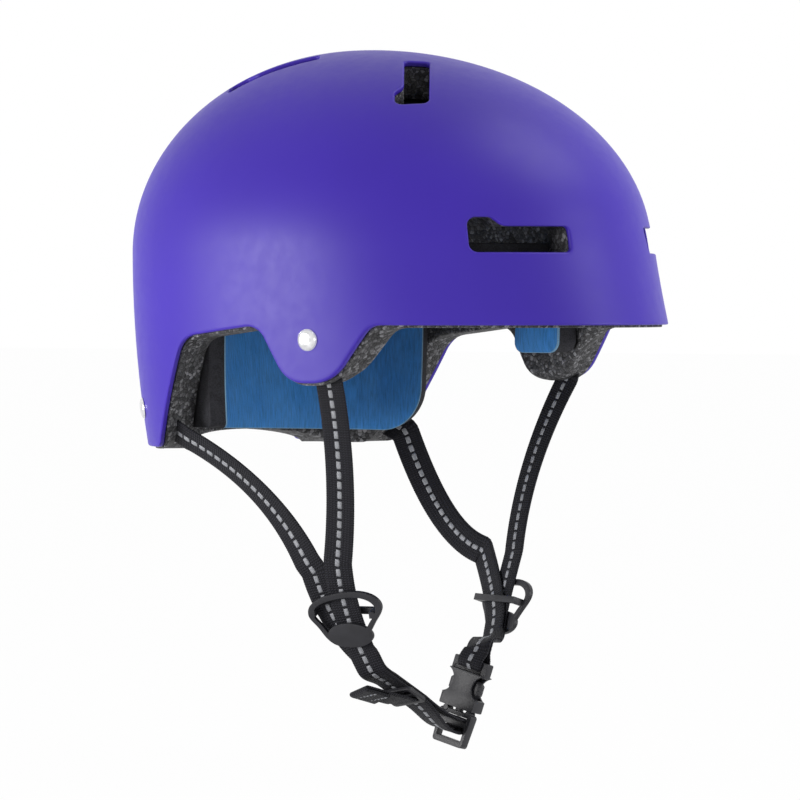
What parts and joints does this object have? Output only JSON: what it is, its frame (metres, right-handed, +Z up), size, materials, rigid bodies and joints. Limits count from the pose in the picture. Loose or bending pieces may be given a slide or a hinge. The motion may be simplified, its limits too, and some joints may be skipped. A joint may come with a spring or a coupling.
{
  "type": "skateboard helmet",
  "caption": "Hard-shell skate helmet with foam liner, fit pads, riveted webbing, strap dividers, a three-bar slide and a side-release chin buckle.",
  "frame": {"origin": "centre of the head opening, level with the front lower edge of the shell", "axes": "+Z up towards the crown, -Y towards the wearer's front, +X towards the wearer's left"},
  "size_m": [0.2242, 0.2787, 0.3525],
  "materials": {
    "shell": "satin",
    "liner": "matte",
    "pads": "matte",
    "hook_tape": "matte",
    "webbing": "matte",
    "fittings": "satin",
    "rivets": "polished",
    "washers": "satin"
  },
  "bodies": {
    "helmet": {"outer_shell": "shell", "impact_liner": "liner", "brow_pad": "pads", "crown_pad": "pads", "right_temple_pad": "pads", "left_temple_pad": "pads", "rear_pad": "pads", "pad_hook_patches": "hook_tape", "strap_rivets": "rivets", "rivet_washers": "washers", "right_front_strap": "webbing", "right_rear_strap": "webbing", "left_front_strap": "webbing", "left_rear_strap": "webbing", "right_divider_webbing": "webbing", "left_divider_webbing": "webbing", "right_chin_strap": "webbing", "left_chin_strap": "webbing", "buckle_socket": "fittings"},
    "right_divider_body": {"right_divider": "fittings"},
    "left_divider_body": {"left_divider": "fittings"},
    "slide_body": {"three_bar_slide": "fittings", "strap_tail": "webbing"},
    "plug_body": {"buckle_plug": "fittings", "chin_loop": "webbing"},
    "right_prong_body": {"right_buckle_prong": "fittings"},
    "left_prong_body": {"left_buckle_prong": "fittings"}
  },
  "joints": [
    {"name": "right_divider_slide", "type": "slide", "parent": "helmet", "child": "right_divider_body", "axis": [-0.2955, -0.0903, 0.9511], "range_m": [-0.008, 0.012], "deforming": ["right_divider_webbing"]},
    {"name": "left_divider_slide", "type": "slide", "parent": "helmet", "child": "left_divider_body", "axis": [0.2955, -0.0903, 0.9511], "range_m": [-0.008, 0.012], "deforming": ["left_divider_webbing"]},
    {"name": "strap_slide", "type": "slide", "parent": "helmet", "child": "slide_body", "axis": [0.859, -0.1011, -0.5019], "range_m": [-0.005, 0.002]},
    {"name": "buckle_release", "type": "slide", "parent": "helmet", "child": "plug_body", "axis": [-0.1908, 0.2208, -0.9565], "range_m": [0, 0.022], "deforming": ["chin_loop"]},
    {"name": "right_prong_squeeze", "type": "hinge", "parent": "plug_body", "child": "right_prong_body", "pos_m": [0.01149, -0.02304, -0.19322], "axis": [0.9816, 0.0429, -0.1859], "range_deg": [0, 6], "stiffness_Nm_per_rad": 0.3},
    {"name": "left_prong_squeeze", "type": "hinge", "parent": "plug_body", "child": "left_prong_body", "pos_m": [0.01149, -0.03707, -0.19646], "axis": [-0.9816, -0.0429, 0.1859], "range_deg": [0, 6], "stiffness_Nm_per_rad": 0.3}
  ]
}
